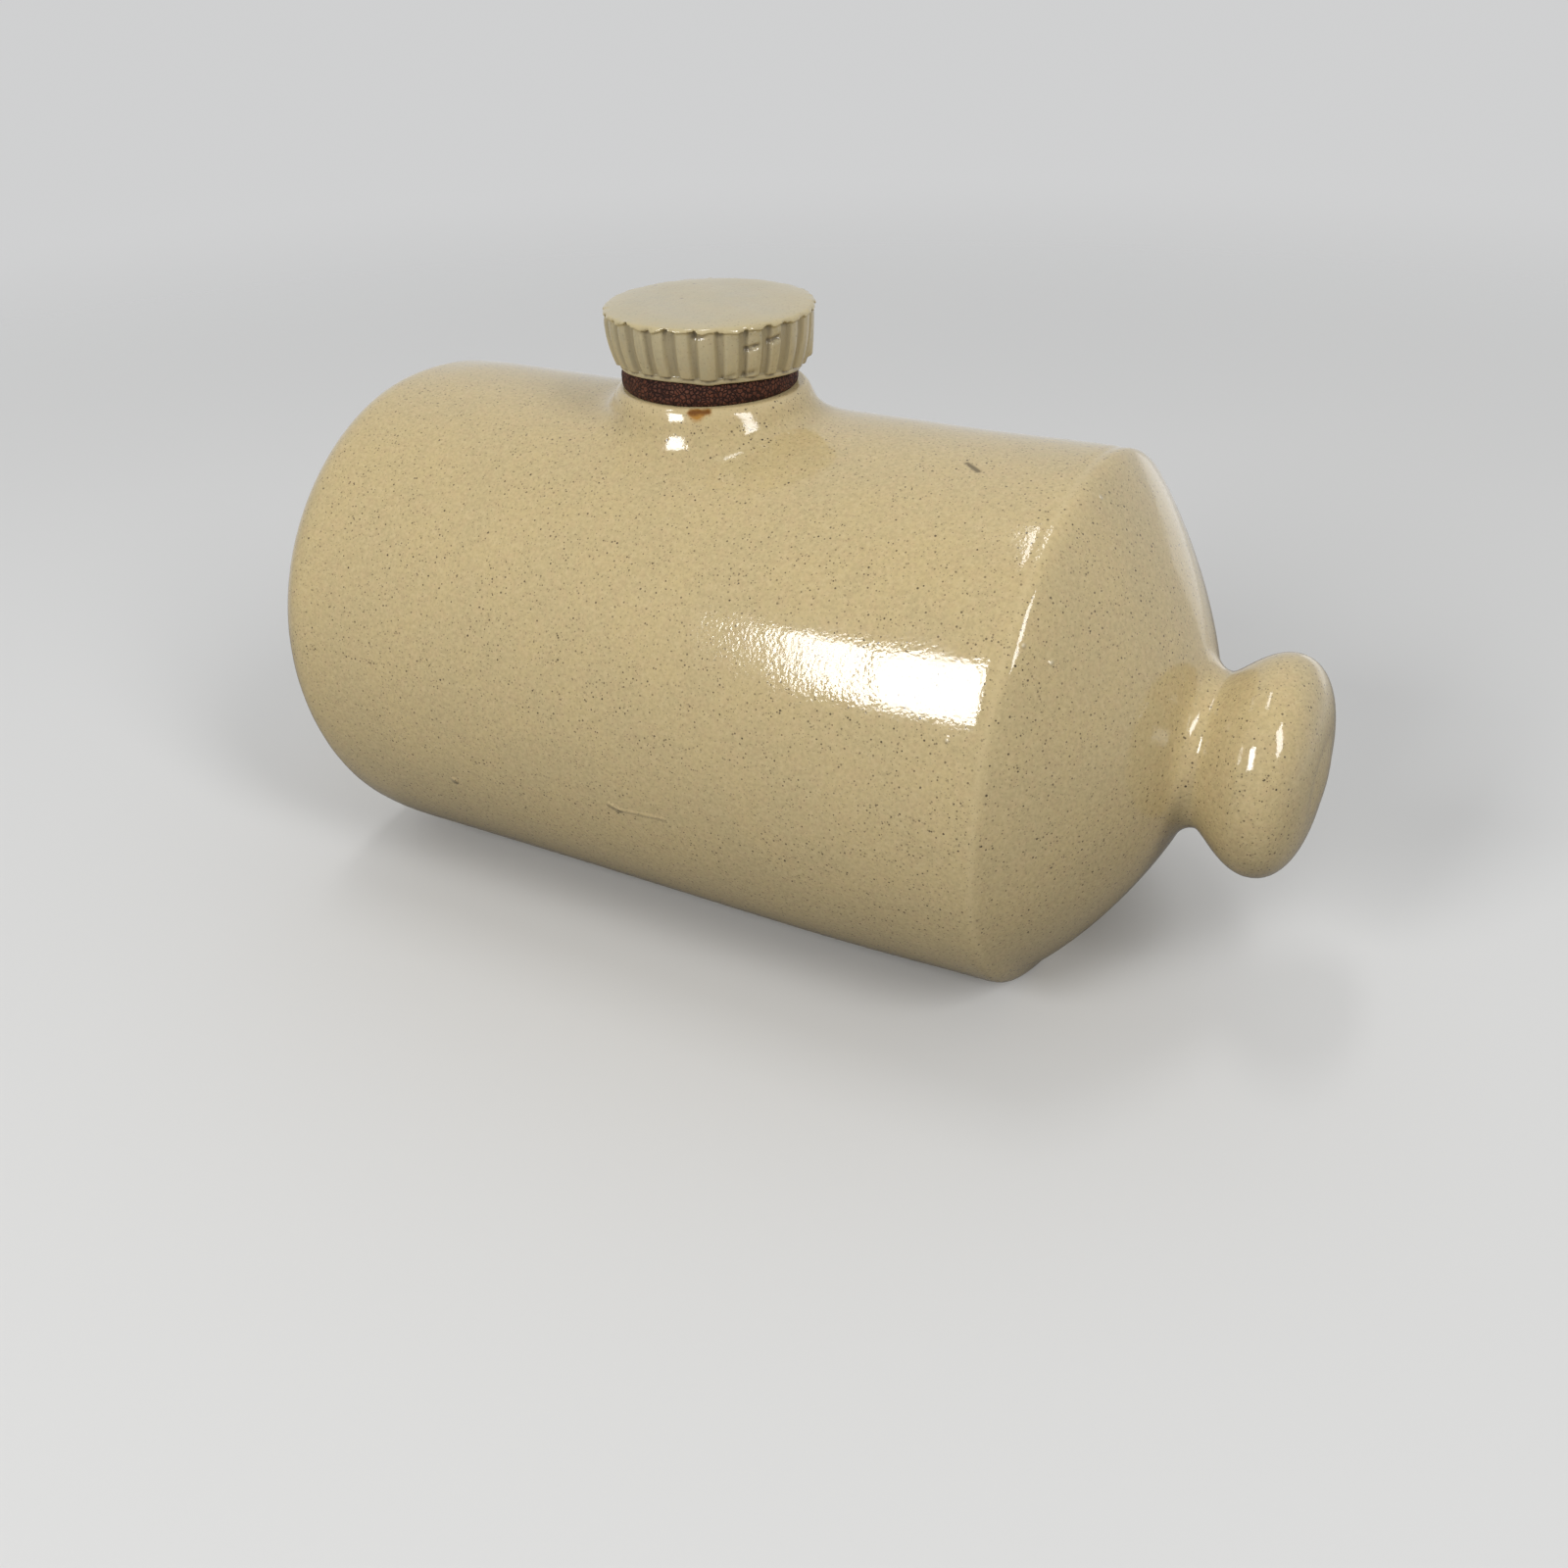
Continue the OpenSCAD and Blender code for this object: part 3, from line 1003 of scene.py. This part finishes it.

# %% [markdown]
# ## The bottle's finish
# Under the washer a drop of rusty water has dried on the collar. The rim and the shoulder's edge
# are paler, where the glaze ran off them. A few things happened in the kiln: pips of glaze on the
# shoulder, a drop and a run low on the barrel, a scar on top, and rougher peel in a few streaks.
# They are a few tenths of a millimetre high, so height in the finish is enough for them. The
# pips' tops are painted paler, a painted highlight. Inside the neck the glaze is darker and dull.

# %% Places on the bottle, in millimetres
rust_edge = ((7.2, -22.0, 134.2), (10.9, -20.2, 134.4))
rust_drip = (8.9, -21.9, 133.3)
pips = (
    (100.9, -47.5, 105.2),
    (105.8, -43.8, 100.6),
    (103.0, -10.9, 124.7),
    (90.4, -60.7, 87.1),
)
low_drop = (-45.2, -63.0, 42.8)
run_bend = (7.7, -64.5, 49.4)
run_head = ((5.1, -64.7, 50.3), run_bend)
run_tail = (run_bend, (20.8, -64.7, 50.5))
scar = ((72.2, -11.1, 127.9), (75.9, -13.5, 127.4))
frayed = (36.0, -57.0, 96.5)
streaks = (
    ((71.0, -54.8, 99.0), (73.0, -58.6, 92.4)),
    ((60.0, -59.6, 91.6), (68.0, -59.8, 90.8)),
    ((97.6, -27.3, 123.1), (97.2, -36.5, 117.8)),
    ((93.8, -52.4, 102.9), (96.0, -57.6, 94.6)),
)
print("pips:", len(pips), "rough streaks:", len(streaks))

# %% What happened to the bottle's glaze
rust_tone = (0.40, 0.195, 0.035, 1.0)
rust_core_tone = (0.17, 0.062, 0.008, 1.0)
scar_tone = (0.17, 0.125, 0.055, 1.0)
pip_highlight_tone = (0.72, 0.62, 0.42, 1.0)
inside_tone = (0.22, 0.17, 0.10, 1.0)


def bottle_extras(place, tone, height, roughness):
    """Rust, the scar, a painted highlight on the pips' tops, the dull inside, and what stands out of the
    glaze.
    """
    ragged = clouds(place, 1.3, 3.0).between(0.2, 0.5)
    uneven_edge = 0.7 * clouds(place, 1.0)
    rust = run(place, *rust_edge, 2.2) + near(place, rust_drip, 2.6) - uneven_edge
    rust_core = run(place, *rust_edge, 1.7) - uneven_edge
    scarred = run(place, *scar, 1.1) * ragged
    painted_pip_highlights = sum(near(place, point, 0.7) for point in pips)
    hidden = mark(place, "inside")
    tone = (1.2 * rust).held().blend(tone, rust_tone)
    tone = (1.7 * rust_core).held().blend(tone, rust_core_tone)
    tone = (1.25 * scarred).held().blend(tone, scar_tone)
    # Painted highlight: the pips' tops are tinted pale where they would catch the light.
    tone = painted_pip_highlights.held().blend(tone, pip_highlight_tone)
    tone = (0.5 * hidden).held().blend(tone, inside_tone)
    raised = 1.4 * sum(near(place, point, 1.0) for point in pips)
    raised = raised + 2.2 * run(place, *run_head, 1.2) + 0.8 * run(place, *run_tail, 0.9)
    raised = raised + 3.5 * near(place, low_drop, 1.6)
    rough = 0.6 * near(place, frayed, 16.0) + sum(run(place, *streak, 3.0) for streak in streaks)
    rough_peel = rough * clouds(place, 0.9, 1.0)
    height = height + raised + peel_depth * (rough_peel - scarred)
    return tone, height, roughness + 0.3 * hidden


print("bottle extras ready: rust, scar, pips, runs")

# %% Bottle glaze
bottle_glaze = glazed(
    "bottle_glaze",
    warm=(0.555, 0.437, 0.222, 1.0),
    cool=(0.525, 0.420, 0.220, 1.0),
    flushed=(0.555, 0.415, 0.225, 1.0),
    thin=(0.61, 0.49, 0.27, 1.0),
    speckling=1.0,
    thin_marks={"edge": 0.6, "rim": 0.6},
    extras=bottle_extras,
)
bottle.data.materials.append(bottle_glaze)
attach(bottle, "bottle")
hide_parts("bottle")
print("nodes in the bottle's glaze:", len(bottle_glaze.node_tree.nodes))

# %% [markdown]
# ## The stopper's finish
# The stopper was dipped in a thinner batch, a shade greyer, with few specks. Shade is painted into
# the grooves and as a shadow under each rib, the nicks show the darker clay, and three pits pock the
# top. The grooves, the nicks and the shadows under the ribs were marked when the rings were made, so
# the finish finds them without a mask.

# %% Stopper glaze
pits = ((-20.5, 8.2, 154.2), (-11.3, 11.7, 154.5), (-6.6, -1.5, 154.6))
pit_tone = (0.16, 0.12, 0.07, 1.0)
groove_shade_tone = (0.25, 0.205, 0.12, 1.0)
clay_and_rib_shadow_tone = (0.13, 0.10, 0.07, 1.0)


def stopper_extras(place, tone, height, roughness):
    """Pits in the top, painted shade in the grooves, and bare clay in the nicks with a painted shadow under
    the ribs.
    """
    pitted = sum(near(place, point, 0.8) for point in pits)
    bare_clay_and_rib_shadow = mark(place, "nick") * clouds(place, 1.2).between(0.35, 0.6)
    tone = (0.8 * pitted).held().blend(tone, pit_tone)
    # Painted shade: the grooves are darkened where the ribs shade them.
    tone = (0.55 * mark(place, "groove")).held().blend(tone, groove_shade_tone)
    # Bare clay in the nicks, and a painted shadow on the band under each rib.
    tone = (0.65 * bare_clay_and_rib_shadow).held().blend(tone, clay_and_rib_shadow_tone)
    return tone, height - peel_depth * pitted, roughness


stopper_glaze = glazed(
    "stopper_glaze",
    warm=(0.49, 0.415, 0.25, 1.0),
    cool=(0.45, 0.39, 0.24, 1.0),
    flushed=(0.48, 0.39, 0.235, 1.0),
    thin=(0.57, 0.47, 0.25, 1.0),
    speckling=0.35,
    thin_marks={"edge": 0.6},
    extras=stopper_extras,
)
stopper.data.materials.append(stopper_glaze)
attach(stopper, "stopper")
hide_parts("stopper")
print("nodes in the stopper's glaze:", len(stopper_glaze.node_tree.nodes))

# %% [markdown]
# ## Old red-brown rubber
# The rubber has hardened and crazed into fine cells, dull and mottled between the cracks, which are
# dark and deep, with some dust on it. Cracks could be carved, but they are too fine for the mesh.
# Voronoi cells measured from their borders give them, and a little noise bends the cells.

# %% Rubber
rubber_red = (0.105, 0.034, 0.018, 1.0)
rubber_brown = (0.066, 0.025, 0.017, 1.0)
worn_tone = (0.25, 0.11, 0.07, 1.0)
crack_tone = (0.012, 0.005, 0.004, 1.0)
dust_tone = (0.26, 0.18, 0.13, 1.0)
crack_cell = 1.0
crack_bend = 0.5
rubber_relief = {"Strength": 0.7, "Distance": 0.3 * mm}
rubber_shine = {"Specular IOR Level": 0.2}

rubber = bpy.data.materials.new("washer_rubber")
place = emptied(rubber).node("ShaderNodeTexCoord", out="Object")
bent = place.vector("MULTIPLY_ADD", clouds(place, 1.3).also("Color"), (crack_bend * mm,) * 3, place)
crack_sockets = {"Vector": bent, "Scale": 1.0 / (crack_cell * mm)}
crack = bent.node("ShaderNodeTexVoronoi", crack_sockets, {"feature": "DISTANCE_TO_EDGE"})
split = 1.0 - crack.between(0.03, 0.2)
patch = clouds(place, 4.0, 3.0).between(0.35, 0.65)
grain = clouds(place, 0.5, 2.0, 0.7).between(0.45, 0.66)
dust = specks(place, size=1.2, smallest=0.06, largest=0.22, share=0.3, soft=0.08)
tone = patch.blend(rubber_red, rubber_brown)
tone = (0.35 * grain).blend(tone, worn_tone)
tone = (0.9 * split).blend(tone, crack_tone)
tone = (0.5 * dust).blend(tone, dust_tone)
height = 0.6 * clouds(place, 0.5) - split
surface(place, tone, 0.62 + 0.2 * patch, height, rubber_relief, rubber_shine)
washer.data.materials.append(rubber)
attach(washer, "washer")
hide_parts("washer")
print("nodes in the rubber:", len(rubber.node_tree.nodes))

# %% [markdown]
# ## The floor
# The studio is plain: a pale floor that fades out into a background of the same tone. A curved
# sweep of paper would do that in a real studio, but here the floor turns transparent with distance.
# It looks pale to the camera and throws little light back up, as a dark table would, and
# reflections see it end sooner, at the wall behind.

# %% Floor
half_floor = 3.0
floor_z = -0.1 * mm
floor_tone = (0.68, 0.68, 0.675, 1.0)
bounce_tone = (0.23, 0.226, 0.222, 1.0)
fade_seen = (0.35, 1.1)
fade_mirrored = (0.22, 0.42)

floor_mesh = bpy.data.meshes.new("floor")
corners = [(half_floor * x, half_floor * y, floor_z) for x, y in ((-1, -1), (1, -1), (1, 1), (-1, 1))]
floor_mesh.from_pydata(corners, [], [(0, 1, 2, 3)])
floor = placed("floor", floor_mesh)
floor_paint = bpy.data.materials.new("floor_paint")
place = emptied(floor_paint).node("ShaderNodeTexCoord", out="Object")
reach = place.vector("LENGTH", place, out="Value")
seen = place.node("ShaderNodeLightPath", out="Is Camera Ray")
mirrored = seen.also("Is Glossy Ray")
paint = place.node("ShaderNodeBsdfPrincipled", {
    "Base Color": seen.blend(bounce_tone, floor_tone), "Roughness": 0.8})
clear = place.node("ShaderNodeBsdfTransparent")
fade = reach.between(*fade_seen) * (1.0 - mirrored) + reach.between(*fade_mirrored) * mirrored
faded = place.node("ShaderNodeMixShader", {0: fade, 1: paint, 2: clear})
place.node("ShaderNodeOutputMaterial", {"Surface": faded})
floor_mesh.materials.append(floor_paint)
print("floor, m across:", 2 * half_floor)

# %% [markdown]
# ## Lamps
# Soft boxes light the bottle: a window-shaped one from the front and left, whose reflection lies on
# the barrel, a narrower one from the right, a strip on the ceiling for the glints, a weak low one
# behind that outlines the shoulder, and a broad weak one above that no reflection shows. A picture
# of a room could light it too, but with boxes each reflection can be put where it belongs.

# %% Soft boxes
lamp_aim = np.array((0.07, -0.05, 0.09))
lamp_distance = 2.0


def lamp(name, azimuth, elevation, size, watts, roll=0.0):
    """A soft box at an azimuth from -Y towards +X and an elevation, in degrees, aimed at the bottle."""
    data = bpy.data.lights.new(name, "AREA")
    data.shape = "RECTANGLE"
    data.size, data.size_y = size
    data.energy = watts
    a = math.radians(azimuth)
    e = math.radians(elevation)
    away = np.array((math.sin(a) * math.cos(e), -math.cos(a) * math.cos(e), math.sin(e)))
    side = np.cross((0.0, 0.0, 1.0), away)
    side = side / np.linalg.norm(side)
    moved = Matrix.Translation((lamp_aim + lamp_distance * away).tolist())
    rolled = Matrix.Rotation(math.radians(roll), 4, "Z")
    box = placed(name, data)
    box.matrix_world = moved @ turned_to(side, np.cross(away, side)) @ rolled
    return box


lamp("window", azimuth=-20.25, elevation=29.7, size=(0.54, 0.78), watts=21.6, roll=18.0)
lamp("side_window", azimuth=68.3, elevation=38.0, size=(0.46, 1.0), watts=15.3)
lamp("ceiling", azimuth=-116.6, elevation=76.4, size=(0.66, 0.22), watts=3.9, roll=34.6)
lamp("rim", azimuth=169.0, elevation=-6.0, size=(0.92, 0.40), watts=0.5)
overhead = lamp("overhead", azimuth=20.0, elevation=78.0, size=(2.0, 2.0), watts=1.2)
overhead.visible_glossy = False
print("lamps:", sorted(bpy.data.lights.keys()))

# %% [markdown]
# ## Sky and background
# The rest of the room is an even sky of soft light, brighter at the back, where a wall would be.
# The camera itself sees a plain tone there instead, close to the floor's, so that no horizon shows.
# The levels are set so that a colour renders about as written.

# %% Sky
room_front = (0.30, 0.30, 0.30, 1.0)
room_back = (0.66, 0.67, 0.68, 1.0)
backdrop_tone = (0.63, 0.633, 0.636, 1.0)

sky = bpy.data.worlds.new("sky")
direction = emptied(sky).node("ShaderNodeTexCoord", out="Generated")
behind = direction.node("ShaderNodeSeparateXYZ", {"Vector": direction}, out="Y")
room = behind.between(-0.2, 0.7).blend(room_front, room_back)
light = room.node("ShaderNodeBackground", {"Color": room})
backdrop = room.node("ShaderNodeBackground", {"Color": backdrop_tone})
seen = room.node("ShaderNodeLightPath", out="Is Camera Ray")
both = room.node("ShaderNodeMixShader", {0: seen, 1: light, 2: backdrop})
room.node("ShaderNodeOutputWorld", {"Surface": both})
bpy.context.scene.world = sky
bpy.context.scene.view_settings.view_transform = "Standard"
print("sky made, nodes in it:", len(sky.node_tree.nodes))
